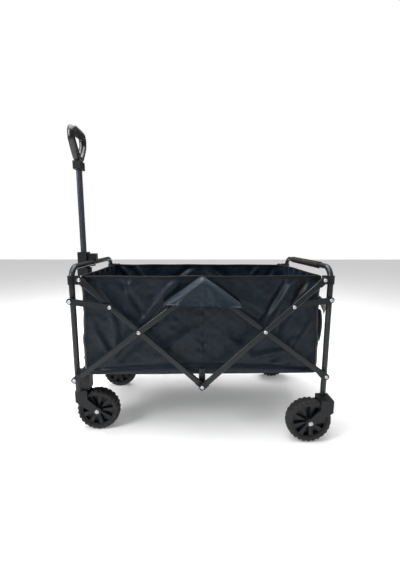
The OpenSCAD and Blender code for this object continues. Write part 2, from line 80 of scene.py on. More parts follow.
camera_data = bpy.data.cameras.new("view")
camera_data.sensor_fit = "HORIZONTAL"
camera_data.sensor_width = 36.0
camera_data.lens = 26.995
camera = bpy.data.objects.new("view", camera_data)
turned = Matrix((right, up, -forward)).transposed().to_4x4()
camera.matrix_world = Matrix.Translation(camera_at) @ turned
bpy.context.scene.collection.objects.link(camera)
bpy.context.scene.camera = camera

# ---------------------------------------------------------------- Studio
# A white paper floor under a soft top light. The room is dim at eye level, so that the black
# pieces keep their depth, and a broad key at the upper near left rakes across the cloth.


def soft_box(name, at, aim, size, watts):
    """An area light at one point, turned to face another."""
    data = bpy.data.lights.new(name, "AREA")
    data.shape = "RECTANGLE"
    data.size, data.size_y = size
    data.energy = watts
    lamp = bpy.data.objects.new(name, data)
    lamp.location = at
    lamp.rotation_euler = (Vector(aim) - Vector(at)).to_track_quat("-Z", "Y").to_euler()
    bpy.context.scene.collection.objects.link(lamp)


soft_box("overhead", at=(-0.3, 0.2, 2.6), aim=(0.0, 0.1, 0.4), size=(3.0, 2.0), watts=105)
soft_box("key", at=(-1.9, -1.4, 1.9), aim=(-0.42, -0.23, 0.48), size=(0.8, 0.8), watts=40)
soft_box("fill", at=(2.2, -1.5, 1.1), aim=(0.0, 0.0, 0.4), size=(1.0, 1.2), watts=3)

world = bpy.data.worlds.new("studio")
world.use_nodes = True
sky_nodes, sky_link = world.node_tree.nodes, world.node_tree.links.new
sky = sky_nodes["Background"]
sky.inputs["Color"].default_value = (1.0, 1.0, 1.0, 1)
direction = sky_nodes.new("ShaderNodeTexCoord")
rise_of = sky_nodes.new("ShaderNodeSeparateXYZ")
sky_shade = sky_nodes.new("ShaderNodeMapRange")
sky_shade.inputs["From Min"].default_value = 0.15
sky_shade.inputs["From Max"].default_value = 0.75
sky_shade.inputs["To Min"].default_value = 0.10
sky_shade.inputs["To Max"].default_value = 0.60
ray = sky_nodes.new("ShaderNodeLightPath")
seen = sky_nodes.new("ShaderNodeMath")
seen.operation = "MAXIMUM"
sky_link(direction.outputs["Generated"], rise_of.inputs["Vector"])
sky_link(rise_of.outputs["Z"], sky_shade.inputs["Value"])
sky_link(sky_shade.outputs["Result"], seen.inputs[0])
sky_link(ray.outputs["Is Camera Ray"], seen.inputs[1])
sky_link(seen.outputs["Value"], sky.inputs["Strength"])
bpy.context.scene.world = world
bpy.context.scene.view_settings.view_transform = "Standard"

floor_half = 9.0
floor_mesh = bpy.data.meshes.new("studio_floor")
floor_mesh.from_pydata(
    [(-floor_half, -floor_half, 0), (floor_half, -floor_half, 0),
     (floor_half, floor_half, 0), (-floor_half, floor_half, 0)],
    [], [(0, 1, 2, 3)],
)
studio_floor = bpy.data.objects.new("studio_floor", floor_mesh)
bpy.context.scene.collection.objects.link(studio_floor)
paper = bpy.data.materials.new("floor_paper")
paper.use_nodes = True
matt = paper.node_tree.nodes["Principled BSDF"]
matt.inputs["Base Color"].default_value = (0.9, 0.9, 0.9, 1)
matt.inputs["Roughness"].default_value = 0.85
matt.inputs["Emission Color"].default_value = (1, 1, 1, 1)
matt.inputs["Emission Strength"].default_value = 0.16
floor_mesh.materials.append(paper)

# ---------------------------------------------------------------- Painted tubes
# The two end hoops, their crossbars and the flat-oval scissor braces are steel tube under a
# satin black powder coat with a faint blue cast, a fine orange peel and a few rubbed spots.


def grain_group():
    """Shader group: fine noise for shade and height, and a sparse mask of rubbed spots.

    Shade is the fine noise at the given scale, mixed with the broad noise. Rub is the broad noise
    cut off above a threshold, times Rubbed. Height is the fine noise. All are read in object
    coordinates."""
    tree = bpy.data.node_groups.new("Coat grain", "ShaderNodeTree")
    for name, start in (("Scale", 700.0), ("Rubbed", 0.2)):
        socket = tree.interface.new_socket(name, in_out="INPUT", socket_type="NodeSocketFloat")
        socket.default_value = start
    for name in ("Shade", "Rub", "Height"):
        tree.interface.new_socket(name, in_out="OUTPUT", socket_type="NodeSocketFloat")
    nodes, link = tree.nodes, tree.links.new
    inlet, outlet = nodes.new("NodeGroupInput"), nodes.new("NodeGroupOutput")
    place = nodes.new("ShaderNodeTexCoord")
    fine = nodes.new("ShaderNodeTexNoise")
    fine.inputs["Detail"].default_value = 2.0
    broad = nodes.new("ShaderNodeTexNoise")
    broad.inputs["Scale"].default_value = 22.0
    broad.inputs["Detail"].default_value = 6.0
    broad.inputs["Roughness"].default_value = 0.7
    rub = nodes.new("ShaderNodeMapRange")
    rub.inputs["From Min"].default_value = 0.56
    rub.inputs["From Max"].default_value = 0.74
    weight = nodes.new("ShaderNodeMath")
    weight.operation = "MULTIPLY"
    shade = nodes.new("ShaderNodeMix")
    shade.inputs["Factor"].default_value = 0.45
    link(place.outputs["Object"], fine.inputs["Vector"])
    link(place.outputs["Object"], broad.inputs["Vector"])
    link(inlet.outputs["Scale"], fine.inputs["Scale"])
    link(broad.outputs["Fac"], rub.inputs["Value"])
    link(rub.outputs["Result"], weight.inputs[0])
    link(inlet.outputs["Rubbed"], weight.inputs[1])
    link(fine.outputs["Fac"], shade.inputs["A"])
    link(broad.outputs["Fac"], shade.inputs["B"])
    link(shade.outputs["Result"], outlet.inputs["Shade"])
    link(weight.outputs["Value"], outlet.inputs["Rub"])
    link(fine.outputs["Fac"], outlet.inputs["Height"])
    return tree


coat_grain = grain_group()


def coated(name, dark, light, rough, rubbed=0.2, scale=700.0, bump=0.12, metal=0.0, coat=0.0,
           shine=0.26):
    """A material whose colour runs from dark to light with the grain, paler where rubbed.

    Roughness runs with the grain from a tenth below its value to three tenths above it, and
    the grain's height gives the bump."""
    made = bpy.data.materials.new(name)
    made.use_nodes = True
    nodes, link = made.node_tree.nodes, made.node_tree.links.new
    shader = nodes["Principled BSDF"]
    shader.inputs["Metallic"].default_value = metal
    shader.inputs["Specular IOR Level"].default_value = shine
    shader.inputs["Coat Weight"].default_value = coat
    shader.inputs["Coat Roughness"].default_value = 0.18
    grain = nodes.new("ShaderNodeGroup")
    grain.node_tree = coat_grain
    grain.inputs["Scale"].default_value = scale
    grain.inputs["Rubbed"].default_value = rubbed
    tint = nodes.new("ShaderNodeMix")
    tint.data_type = "RGBA"
    tint.inputs["A"].default_value = (*dark, 1)
    tint.inputs["B"].default_value = (*light, 1)
    worn = nodes.new("ShaderNodeMix")
    worn.data_type = "RGBA"
    worn.inputs["B"].default_value = (*(min(1.0, 2.2 * c + 0.01) for c in light), 1)
    gloss = nodes.new("ShaderNodeMapRange")
    gloss.inputs["From Min"].default_value = 0.3
    gloss.inputs["From Max"].default_value = 0.7
    gloss.inputs["To Min"].default_value = rough - 0.1 * rough
    gloss.inputs["To Max"].default_value = rough + 0.3 * rough
    relief = nodes.new("ShaderNodeBump")
    relief.inputs["Strength"].default_value = bump
    relief.inputs["Distance"].default_value = 0.0004
    link(grain.outputs["Shade"], tint.inputs["Factor"])
    link(tint.outputs["Result"], worn.inputs["A"])
    link(grain.outputs["Rub"], worn.inputs["Factor"])
    link(worn.outputs["Result"], shader.inputs["Base Color"])
    link(grain.outputs["Shade"], gloss.inputs["Value"])
    link(gloss.outputs["Result"], shader.inputs["Roughness"])
    link(grain.outputs["Height"], relief.inputs["Height"])
    link(relief.outputs["Normal"], shader.inputs["Normal"])
    return made


def wear(material, *names):
    """Puts one material on every slot of the named CAD pieces."""
    for name in names:
        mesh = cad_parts[name].data
        if not mesh.materials:
            mesh.materials.append(material)
        for slot in range(len(mesh.materials)):
            mesh.materials[slot] = material


hoop_coat = coated("hoop_powder_coat", (0.005, 0.0065, 0.008), (0.014, 0.017, 0.020), 0.30, rubbed=0.25,
                   coat=0.2)
wear(hoop_coat, "front_hoop", "rear_hoop", "front_crossbar", "rear_crossbar", "floor_cross_tube")

brace_coat = coated("brace_powder_coat", (0.002, 0.004, 0.005), (0.006, 0.010, 0.013), 0.28, rubbed=0.15,
                   coat=0.12)
for side in ("near", "far"):
    for level in ("lower", "upper"):
        wear(brace_coat, f"{level}_brace_front_{side}", f"{level}_brace_rear_{side}")
wear(brace_coat, "links_front", "links_rear", "floor_hangers")

# ---------------------------------------------------------------- Moulded parts
# Brace ends, catches, housings, forks and the handle's collar are glass-filled nylon: black,
# with a fine spark-eroded texture that catches the light a little on the forks.

nylon = coated("black_nylon", (0.003, 0.004, 0.005), (0.008, 0.010, 0.012), 0.38, rubbed=0.12,
               scale=1100.0, bump=0.2)
wear(nylon, "lower_front_ends", "lower_rear_ends", "upper_front_ends", "upper_rear_ends",
     "front_catches", "rear_catches", "front_spacers", "handle_base", "front_post_caps",
     "caster_housings", "grip_socket")

fork_plastic = coated("fork_plastic", (0.004, 0.0048, 0.0055), (0.010, 0.012, 0.0135), 0.46, rubbed=0.15,
                      scale=800.0, bump=0.28)
wear(fork_plastic, "front_fork_near", "front_fork_far", "rear_fork_near", "rear_fork_far",
     "handle_bracket")

collar_plastic = coated("collar_plastic", (0.003, 0.004, 0.005), (0.009, 0.011, 0.014), 0.3,
                        rubbed=0.1, coat=0.3)
wear(collar_plastic, "handle_collar")

# ---------------------------------------------------------------- Rivets, pins and axles
# Bright zinc-plated steel, brushed by the setting tool, with dull specks in the plating.

zinc = coated("zinc_plate", (0.30, 0.31, 0.33), (0.62, 0.63, 0.66), 0.30, rubbed=0.1,
              scale=1600.0, bump=0.25, metal=0.85)
wear(zinc, "front_rivets", "rear_rivets", "lower_front_rivets", "lower_rear_rivets",
     "upper_front_pins", "upper_rear_pins", "link_rivets", "handle_pin", "rear_axles",
     "front_axle_near", "front_axle_far", "front_stem_near", "front_stem_far")

# ---------------------------------------------------------------- Handle tubes
# Twin telescoping steel tubes in a blue-grey lacquer, glossier than the frame and drawn
# lengthwise, so that they carry one long highlight each.

tube_lacquer = coated("tube_lacquer", (0.055, 0.065, 0.082), (0.100, 0.115, 0.138), 0.27,
                      rubbed=0.15, metal=0.65, coat=0.4)
outer_lacquer = coated("outer_tube_lacquer", (0.020, 0.024, 0.030), (0.040, 0.046, 0.055), 0.3,
                       rubbed=0.2, metal=0.4, coat=0.3)
wear(tube_lacquer, "handle_inner_tubes")
wear(outer_lacquer, "handle_outer_tubes")

# ---------------------------------------------------------------- Rims
# Each wheel's hub, blades and rim are one black polypropylene moulding, a little waxy. It turns
# on its zinc-plated axle.

rim_plastic = coated("rim_plastic", (0.003, 0.004, 0.0055), (0.009, 0.011, 0.0135), 0.36,
                     rubbed=0.15, scale=500.0, bump=0.15)
WHEELS = ("front_near", "front_far", "rear_near", "rear_far")
for wheel in WHEELS:
    wear(rim_plastic, f"rim_{wheel}")

# ---------------------------------------------------------------- Tyres
# A solid rubber tyre on each rim: smooth sidewall, and a tread of slanted shoulder lugs on
# each side of a zigzag rib. The grooves are cut into the CAD tyre's outline.

lug_count = 26
lug_slant = 0.55
lug_steepness = 7
lug_share = 0.25
groove_depth = 0.0032
shoulder_cut = 0.0018
rib_half = 0.0045
rib_swing = 0.0035
rib_edge = 0.0006
bead_share = 0.76


def grid(*parts):
    """Coordinates stretched to one common grid and laid side by side on a last axis."""
    return np.stack(np.broadcast_arrays(*parts), axis=-1)


def skin(name, points, uv=None, wrap=True, ring=False, caps=()):
    """A surface over a grid of points, rows by columns, one quad for each cell.

    wrap joins the last column to the first, and ring joins the last row to the first. Each row
    named in caps, 0 or -1, is closed with a fan to its middle. The signed volume is the sum of
    each face's triple product about the middle: if it comes out negative, every face is turned
    round."""
    rows, columns = points.shape[:2]
    here = np.arange(rows * columns).reshape(rows, columns)
    if ring:
        here = np.vstack([here, here[:1]])
    beside = np.roll(here, -1, axis=1) if wrap else here[:, 1:]
    start = here if wrap else here[:, :-1]
    quads = np.stack([start[:-1], beside[:-1], beside[1:], start[1:]], axis=-1).reshape(-1, 4)
    places = points.reshape(-1, 3)
    chart = None if uv is None else uv.reshape(-1, 2)
    corners, sizes = quads.reshape(-1), np.full(len(quads), 4)
    for row in caps:
        middle = len(places)
        places = np.vstack([places, points[row].mean(axis=0)])
        if chart is not None:
            chart = np.vstack([chart, uv[row].mean(axis=0)])
        fan = np.stack([here[row], np.roll(here[row], -1), np.full(columns, middle)], axis=-1)
        corners = np.concatenate([corners, fan[:, ::-1 if row == 0 else 1].reshape(-1)])
        sizes = np.concatenate([sizes, np.full(columns, 3)])
    starts = np.concatenate([[0], np.cumsum(sizes)[:-1]])
    third = places[corners[starts + 2]]
    inside = places.mean(axis=0)
    volume = np.einsum("ij,ij->i", places[corners[starts]] - inside,
                       np.cross(places[corners[starts + 1]] - inside, third - inside)).sum()
    if volume < 0:
        order = np.arange(len(corners))
        ends = np.repeat(starts + sizes - 1, sizes)
        firsts = np.repeat(starts, sizes)
        corners = corners[ends - (order - firsts)]
    mesh = bpy.data.meshes.new(name)
    mesh.vertices.add(len(places))
    mesh.vertices.foreach_set("co", places.astype(np.float32).reshape(-1))
    mesh.loops.add(len(corners))
    mesh.loops.foreach_set("vertex_index", corners.astype(np.int32))
    mesh.polygons.add(len(sizes))
    mesh.polygons.foreach_set("loop_start", starts.astype(np.int32))
    mesh.polygons.foreach_set("use_smooth", np.ones(len(sizes), dtype=bool))
    mesh.update(calc_edges=True)
    mesh.validate()
    if chart is not None:
        layer = mesh.uv_layers.new(name="cloth_metres")
        layer.data.foreach_set("uv", chart[corners].astype(np.float32).reshape(-1))
    piece = bpy.data.objects.new(name, mesh)
    bpy.context.scene.collection.objects.link(piece)
    return piece


def tyre(name, low, high):
    """A closed outline turned about the axle, with the tread pressed into its outer part.

    The outline runs bead, sidewall, shoulder, tread and back. A lug stands where the cosine of
    the lug angle, slanted by the distance from the middle, is positive. The two halves are half
    a lug apart. The rib in the middle zigzags with the lugs."""
    middle, radius = (low + high) / 2, (high.z - low.z) / 2
    half = (high.y - low.y) / 2
    bead = radius * bead_share
    outline = np.array([
        (bead, -half + 0.005), (bead + 0.003, -half + 0.001), (radius - 0.012, -half),
        (radius - 0.008, -half + 0.0005), (radius - 0.003, -half + 0.004),
        (radius - 0.0004, -half + 0.010), (radius, 0.0), (radius - 0.0004, half - 0.010),
        (radius - 0.003, half - 0.004), (radius - 0.008, half - 0.0005), (radius - 0.012, half),
        (bead + 0.003, half - 0.001), (bead, half - 0.005), (bead, 0.0),
    ])
    closed = np.vstack([outline, outline[:1]])
    run = np.concatenate([[0], np.cumsum(np.linalg.norm(np.diff(closed, axis=0), axis=1))])
    along = np.linspace(0, run[-1], 56, endpoint=False)
    r = np.interp(along, run, closed[:, 0])[:, None]
    y = np.interp(along, run, closed[:, 1])[:, None]
    turn = np.linspace(0, 2 * np.pi, 312, endpoint=False)[None, :]
    side = np.where(y > 0, 0.5, 0.0)
    slant = np.abs(y) / half * lug_slant
    swell = np.cos(2 * np.pi * side + lug_count * turn + 2 * np.pi * slant) + lug_share
    lug = 1 / (1 + np.exp(-lug_steepness * swell))
    zigzag = rib_swing * (2 / np.pi) * np.arcsin(np.sin(lug_count * turn))
    rib = 1 / (1 + np.exp(-(rib_half - np.abs(y - zigzag)) / rib_edge))
    stand = np.maximum(lug, rib)
    tread = np.clip((r - (radius - 0.0125)) / 0.006, 0, 1)
    cut = (1 - stand) * tread
    crown = np.clip((r - (radius - 0.010)) / 0.008, 0, 1)
    shoulder = np.clip((np.abs(y) - 0.7 * half) / (0.3 * half), 0, 1)
    r_all = r - groove_depth * cut * crown
    y_all = y - np.sign(y) * shoulder_cut * cut * shoulder
    points = grid(middle.x + r_all * np.cos(turn), middle.y + y_all, middle.z + r_all * np.sin(turn))
    return skin(name, points.swapaxes(0, 1), ring=True)


rubber = coated("tyre_rubber", (0.010, 0.0095, 0.0095), (0.030, 0.028, 0.028), 0.62, rubbed=0.5,
                scale=420.0, bump=0.35)
for wheel in WHEELS:
    tread = tyre(f"tread_{wheel}", *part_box(f"tyre_{wheel}"))
    tread.data.materials.append(rubber)
    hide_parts(f"tyre_{wheel}")
    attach(tread, f"wheel_{wheel}")

# ---------------------------------------------------------------- Tub
# One sewn bag of black-navy oxford cloth: four walls and a base, stretched between the frame's
# corners. It has soft diagonal tension folds, a vertical crease where it folds, and a trough
# seam above its base. It rides on the front frame.

tub_low, tub_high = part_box("tub")
tub_middle = (tub_low.x + tub_high.x) / 2
rim_inset = 0.010
base_half = (tub_high.x - tub_low.x) / 2
rim_half = base_half - rim_inset
side_half = tub_high.y - 0.003
tub_height = tub_high.z - tub_low.z
corner_radius = 0.024
cloth_thick = 0.0016


def plan_loop(count):
    """Evenly spaced points round a rounded rectangle, as a straight part and a turning part.

    Gives the signs of the corner's core point with the share of the way along each straight,
    the outward direction, and the run along the loop in metres."""
    straight_x, straight_y = 2 * (base_half - corner_radius), 2 * (side_half - corner_radius)
    arc = np.pi / 2 * corner_radius
    legs = np.array([straight_x, arc, straight_y, arc, straight_x, arc, straight_y, arc])
    edges = np.concatenate([[0], np.cumsum(legs)])
    run = np.linspace(0, edges[-1], count, endpoint=False)
    leg = np.searchsorted(edges, run, side="right") - 1
    share = (run - edges[leg]) / legs[leg]
    core_x = np.choose(leg, [2 * share - 1, 1, 1, 1, 1 - 2 * share, -1, -1, -1])
    core_y = np.choose(leg, [-1, -1, 2 * share - 1, 1, 1, 1, 1 - 2 * share, -1])
    angle = np.pi / 2 * (np.array([-1, -1, 0, 0, 1, 1, 2, 2])[leg] + np.where(leg % 2 == 1, share, 0))
    return core_x, core_y, np.cos(angle), np.sin(angle), run


def lattice_noise(a, b, cell, seed):
    """Random heights from -1 to 1 on a square lattice, joined by smooth steps between them."""
    heights = np.random.default_rng(seed).uniform(-1, 1, (96, 96))
    column, row = a / cell + 40, b / cell + 40
    left, low = np.floor(column).astype(int), np.floor(row).astype(int)
    across, upward = column - left, row - low
    across, upward = across**2 * (3 - 2 * across), upward**2 * (3 - 2 * upward)
    left, low = left % 95, low % 95
    bottom = heights[low, left] * (1 - across) + heights[low, left + 1] * across
    top = heights[low + 1, left] * (1 - across) + heights[low + 1, left + 1] * across
    return bottom * (1 - upward) + top * upward


# Folds on a side wall, each drawn from one end to the other: (from x, from height, to x,
# to height, half width, rise). x runs from the wall's middle towards the rear, and height from
# the tub's base.
SIDE_FOLDS = (
    (-0.316, 0.085, -0.205, 0.185, 0.010, 0.0046),
    (-0.340, 0.020, -0.235, 0.120, 0.016, -0.0036),
    (-0.224, 0.185, -0.100, 0.320, 0.017, 0.0060),
    (-0.185, 0.180, -0.060, 0.290, 0.011, -0.0046),
    (-0.262, 0.345, -0.270, 0.250, 0.013, 0.0042),
    (-0.300, 0.330, -0.235, 0.245, 0.009, -0.0034),
    (-0.385, 0.150, -0.335, 0.070, 0.010, 0.0038),
    (-0.330, 0.225, -0.318, 0.100, 0.014, 0.0042),
    (-0.372, 0.330, -0.290, 0.200, 0.012, 0.0040),
    (-0.150, 0.060, -0.060, 0.150, 0.020, 0.0034),
    (0.060, 0.330, 0.225, 0.225, 0.017, 0.0056),
    (0.075, 0.290, 0.200, 0.195, 0.010, -0.0040),
    (0.315, 0.345, 0.235, 0.205, 0.009, -0.0062),
    (0.355, 0.345, 0.250, 0.190, 0.012, 0.0058),
    (0.385, 0.330, 0.300, 0.180, 0.008, -0.0050),
    (0.392, 0.300, 0.345, 0.120, 0.011, 0.0046),
    (0.200, 0.060, 0.290, 0.085, 0.009, 0.0044),
    (0.250, 0.040, 0.350, 0.130, 0.014, -0.0040),
    (0.120, 0.120, 0.190, 0.060, 0.016, 0.0036),
    (0.330, 0.060, 0.392, 0.170, 0.010, 0.0040),
)
fold_gain = 1.8
fold_wander = 0.004
fold_tail = 0.030


def folded(x, height, folds):
    """The sum of soft ridges, each a bell across its line that dies away past its two ends."""
    total = np.zeros(np.broadcast(x, height).shape)
    for from_x, from_up, to_x, to_up, half_width, rise in folds:
        length = math.hypot(to_x - from_x, to_up - from_up)
        way_x, way_up = (to_x - from_x) / length, (to_up - from_up) / length
        t = (x - from_x) * way_x + (height - from_up) * way_up
        aside = (x - from_x) * way_up - (height - from_up) * way_x
        aside = aside + fold_wander * np.sin(t / 0.035 + 40 * from_x)
        past = np.maximum(np.maximum(-t, t - length), 0)
        total += rise * np.exp(-(aside / half_width) ** 2 - (past / fold_tail) ** 2)
    return total


trough_ends, trough_rise, trough_half = 0.017, 0.018, 0.40


def trough_height(x):
    """Height of the trough seam above the base: a parabola, highest at mid length."""
    return trough_ends + trough_rise * np.clip(1 - (x / trough_half) ** 2, 0, 1)


def side_relief(x, height):
    """Outward relief of a side wall, as a sum of terms.

    The fold ridges, the creased and crumpled middle, a soft billow and the hollow at mid length
    fade out at the rim and at the trough seam. The trough's swell, the notch at its seam and
    the line of the hem are added to them."""
    crease = np.exp(-(x / 0.004) ** 2) * 0.0030 - np.exp(-((x - 0.007) / 0.006) ** 2) * 0.0018
    crumple = lattice_noise(x, height, 0.011, 7) * 0.0026 * np.exp(-(x / 0.022) ** 2)
    soft = lattice_noise(x, 0.6 * height, 0.045, 3) * 0.0028
    soft = soft + lattice_noise(x, height, 0.016, 5) * 0.0012
    seam = trough_height(x)
    trough = np.where(height < seam, np.sin(np.clip(height / seam, 0, 1) * np.pi) ** 0.5 * 0.0060, 0)
    notch = -0.0045 * np.exp(-((height - seam - 0.003) / 0.0040) ** 2)
    hem = -0.0012 * np.exp(-((height - tub_height + 0.020) / 0.0016) ** 2)
    hollow = -0.0050 * np.sin(np.clip(height / tub_height, 0, 1) * np.pi) * np.exp(-(x / 0.13) ** 2)
    calm = np.clip((tub_height - height) / 0.03, 0, 1) * np.clip((height - seam) / 0.02, 0, 1)
    ridges = fold_gain * folded(x, height, SIDE_FOLDS)
    return (ridges + crease + crumple + soft + hollow) * calm + trough + notch + hem


def end_relief(y, height):
    """Outward relief of an end wall: gathers that run down from the rim, and a soft billow."""
    bowed = y + 0.35 * (tub_height - height) + 0.012 * lattice_noise(y, 0.3 * height, 0.05, 11)
    gather = 0.0070 * np.sin(bowed / 0.0125) ** 3
    gather = gather * np.exp(-(tub_height - height) / 0.085)
    gather = gather * np.clip((tub_height - height) / 0.015, 0, 1)
    soft = 0.004 + lattice_noise(y, height, 0.04, 13) * 0.0030
    soft = soft + lattice_noise(y, height, 0.013, 17) * 0.0009
    return gather + soft * np.sin(np.clip(height / tub_height, 0, 1) * np.pi)


def loop_at(height, core_x, core_y, way_x, way_y, outward=0.0):
    """The plan loop at a height: it is shorter towards the rim, and moved out by the relief."""
    half_x = base_half + (rim_half - base_half) * height / tub_height
    x = tub_middle + core_x * (half_x - corner_radius) + (corner_radius + outward) * way_x
    y = core_y * (side_half - corner_radius) + (corner_radius + outward) * way_y
    return x, y


deepest, proudest = -0.011, 0.0085
core_x, core_y, way_x, way_y, run = plan_loop(count=600)
wall_up = np.linspace(0.006, 1.0, 62)[:, None] * tub_height
flat_x = core_x * base_half
relief = way_y**2 * side_relief(np.where(core_y < 0, flat_x, -flat_x * 0.97), wall_up)
relief = relief + way_x**2 * end_relief(core_y * side_half, wall_up)
wall_x, wall_y = loop_at(wall_up, core_x, core_y, way_x, way_y, np.clip(relief, deepest, proudest))
wall = grid(wall_x, wall_y, tub_low.z + wall_up)

# The base is the plan loop drawn in to its middle in rows, slack between its sewn edges.
inward = np.linspace(0.03, 0.995, 26)[:, None]
base_x, base_y = loop_at(0.0, core_x, core_y, way_x, way_y)
slack = 1 + lattice_noise(base_x * inward, base_y * inward, 0.06, 19)
base_z = tub_low.z + 0.0004 + 0.0012 * slack * (1 - inward**8)
base = grid(tub_middle + (base_x - tub_middle) * inward, base_y * inward, base_z)
centre = base[:1].mean(axis=1, keepdims=True)
tub_points = np.concatenate([centre + 0.02 * (base[:1] - centre), base, wall])
tub_uv = np.concatenate([0.1 * base[:1, :, :2], base[..., :2], grid(run, wall_up)])


def weave_group():
    """Shader group: an oxford basket weave on the cloth's own map, which is in metres.

    Height is the product of two crossed sines of the map's two axes, without its sign, so each
    crossing of warp and weft stands up as a round cell. Slub is a noise drawn out along the
    threads. Cloud is a broad noise for worn and dusty patches."""
    tree = bpy.data.node_groups.new("Oxford weave", "ShaderNodeTree")
    socket = tree.interface.new_socket("Thread", in_out="INPUT", socket_type="NodeSocketFloat")
    socket.default_value = 900.0
    for name in ("Height", "Slub", "Cloud"):
        tree.interface.new_socket(name, in_out="OUTPUT", socket_type="NodeSocketFloat")
    nodes, link = tree.nodes, tree.links.new

    def maths(operation, *values):
        """One Math node: numbers are set on its sockets, and outputs are linked to them."""
        node = nodes.new("ShaderNodeMath")
        node.operation = operation
        for socket, value in zip(node.inputs, values):
            if isinstance(value, float):
                socket.default_value = value
            else:
                link(value, socket)
        return node.outputs["Value"]

    inlet, outlet = nodes.new("NodeGroupInput"), nodes.new("NodeGroupOutput")
    chart = nodes.new("ShaderNodeUVMap")
    chart.uv_map = "cloth_metres"
    parts = nodes.new("ShaderNodeSeparateXYZ")
    link(chart.outputs["UV"], parts.inputs["Vector"])
    across = maths("MULTIPLY", parts.outputs["X"], inlet.outputs["Thread"])
    along = maths("MULTIPLY", parts.outputs["Y"], inlet.outputs["Thread"])
    warp = maths("SINE", maths("MULTIPLY", across, math.pi))
    weft = maths("SINE", maths("MULTIPLY", along, math.pi))
    height = maths("ABSOLUTE", maths("MULTIPLY", warp, weft))
    slub = nodes.new("ShaderNodeTexNoise")
    drawn = nodes.new("ShaderNodeMapping")
    drawn.inputs["Scale"].default_value = (60.0, 900.0, 1.0)
    link(chart.outputs["UV"], drawn.inputs["Vector"])
    link(drawn.outputs["Vector"], slub.inputs["Vector"])
    slub.inputs["Scale"].default_value = 1.0
    slub.inputs["Detail"].default_value = 3.0
    cloud = nodes.new("ShaderNodeTexNoise")
    cloud.inputs["Scale"].default_value = 14.0
    cloud.inputs["Detail"].default_value = 7.0
    cloud.inputs["Roughness"].default_value = 0.62
    link(chart.outputs["UV"], cloud.inputs["Vector"])
    link(height, outlet.inputs["Height"])
    link(slub.outputs["Fac"], outlet.inputs["Slub"])
    link(cloud.outputs["Fac"], outlet.inputs["Cloud"])
    return tree


oxford_weave = weave_group()


def cloth(name, dark, light, rough=0.42, sheen=0.06, thread=900.0, bump=0.3):
    """A woven material: thread shadows, drawn-out slubs, and broad patches of wear and dust."""
    made = bpy.data.materials.new(name)
    made.use_nodes = True
    nodes, link = made.node_tree.nodes, made.node_tree.links.new
    shader = nodes["Principled BSDF"]
    shader.inputs["Specular IOR Level"].default_value = 0.2
    shader.inputs["Sheen Weight"].default_value = sheen
    shader.inputs["Sheen Roughness"].default_value = 0.45
    shader.inputs["Sheen Tint"].default_value = (0.62, 0.72, 0.86, 1)
    weave = nodes.new("ShaderNodeGroup")
    weave.node_tree = oxford_weave
    weave.inputs["Thread"].default_value = thread
    shade = nodes.new("ShaderNodeMix")
    shade.inputs["Factor"].default_value = 0.4
    contrast = nodes.new("ShaderNodeMapRange")
    contrast.inputs["From Min"].default_value = 0.34
    contrast.inputs["From Max"].default_value = 0.66
    tint = nodes.new("ShaderNodeMix")
    tint.data_type = "RGBA"
    tint.inputs["A"].default_value = (*dark, 1)
    tint.inputs["B"].default_value = (*light, 1)
    gloss = nodes.new("ShaderNodeMapRange")
    gloss.inputs["From Min"].default_value = 0.3
    gloss.inputs["From Max"].default_value = 0.7
    gloss.inputs["To Min"].default_value = rough - 0.07
    gloss.inputs["To Max"].default_value = rough + 0.1
    relief = nodes.new("ShaderNodeBump")
    relief.inputs["Strength"].default_value = bump
    relief.inputs["Distance"].default_value = 0.0003
    link(weave.outputs["Slub"], shade.inputs["A"])
    link(weave.outputs["Cloud"], shade.inputs["B"])
    link(shade.outputs["Result"], contrast.inputs["Value"])
    link(contrast.outputs["Result"], tint.inputs["Factor"])
    link(tint.outputs["Result"], shader.inputs["Base Color"])
    link(weave.outputs["Cloud"], gloss.inputs["Value"])
    link(gloss.outputs["Result"], shader.inputs["Roughness"])
    link(weave.outputs["Height"], relief.inputs["Height"])
    link(relief.outputs["Normal"], shader.inputs["Normal"])
    return made


def thicken(piece, thickness, offset=-1.0):
    """Gives a sheet its thickness, inwards from the faces' outer side by default."""
    wall = piece.modifiers.new("cloth thickness", "SOLIDIFY")
    wall.thickness = thickness
    wall.offset = offset


oxford = cloth("oxford_cloth", (0.0020, 0.0042, 0.0068), (0.0085, 0.0160, 0.0255), rough=0.34)
tub_cloth = skin("tub_cloth", tub_points, tub_uv, caps=(0,))
tub_cloth.data.materials.append(oxford)
thicken(tub_cloth, cloth_thick)
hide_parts("tub")
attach(tub_cloth, "front_frame")
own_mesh(tub_cloth)

# ---------------------------------------------------------------- Tub bindings
# The rim is bound with folded tape over a cord, and a wider black tape runs round the foot of
# the walls. Both are sewn to the tub, so they move with it.

binding_tape = cloth("binding_tape", (0.002, 0.003, 0.0045), (0.006, 0.008, 0.011), rough=0.55,
                     sheen=0.03, thread=1400.0)


def taped_loop(name, height, out, half_thick, half_tall, wave):
    """An oval section carried round the plan loop, which rises and falls by a slow noise."""
    spin = np.linspace(0, 2 * np.pi, 12, endpoint=False)[:, None]
    x, y = loop_at(height, core_x, core_y, way_x, way_y, out + half_thick * np.cos(spin))
    sway = wave * lattice_noise(run, 0 * run, 0.09, 23)
    z = tub_low.z + height + half_tall * np.sin(spin) + sway
    chart = grid(run, spin * half_tall)
    return skin(name, grid(x, y, z).swapaxes(0, 1), chart.swapaxes(0, 1), ring=True)


for name, height, out, thick, tall, wave in (
    ("rim_binding", tub_height - 0.003, -0.0006, 0.0024, 0.0050, 0.0012),
    ("foot_binding", 0.0072, 0.0014, 0.0024, 0.0070, 0.0004),
):
    tape = taped_loop(name, height, out, thick, tall, wave)
    tape.data.materials.append(binding_tape)
    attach(tape, "front_frame")
    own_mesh(tape)
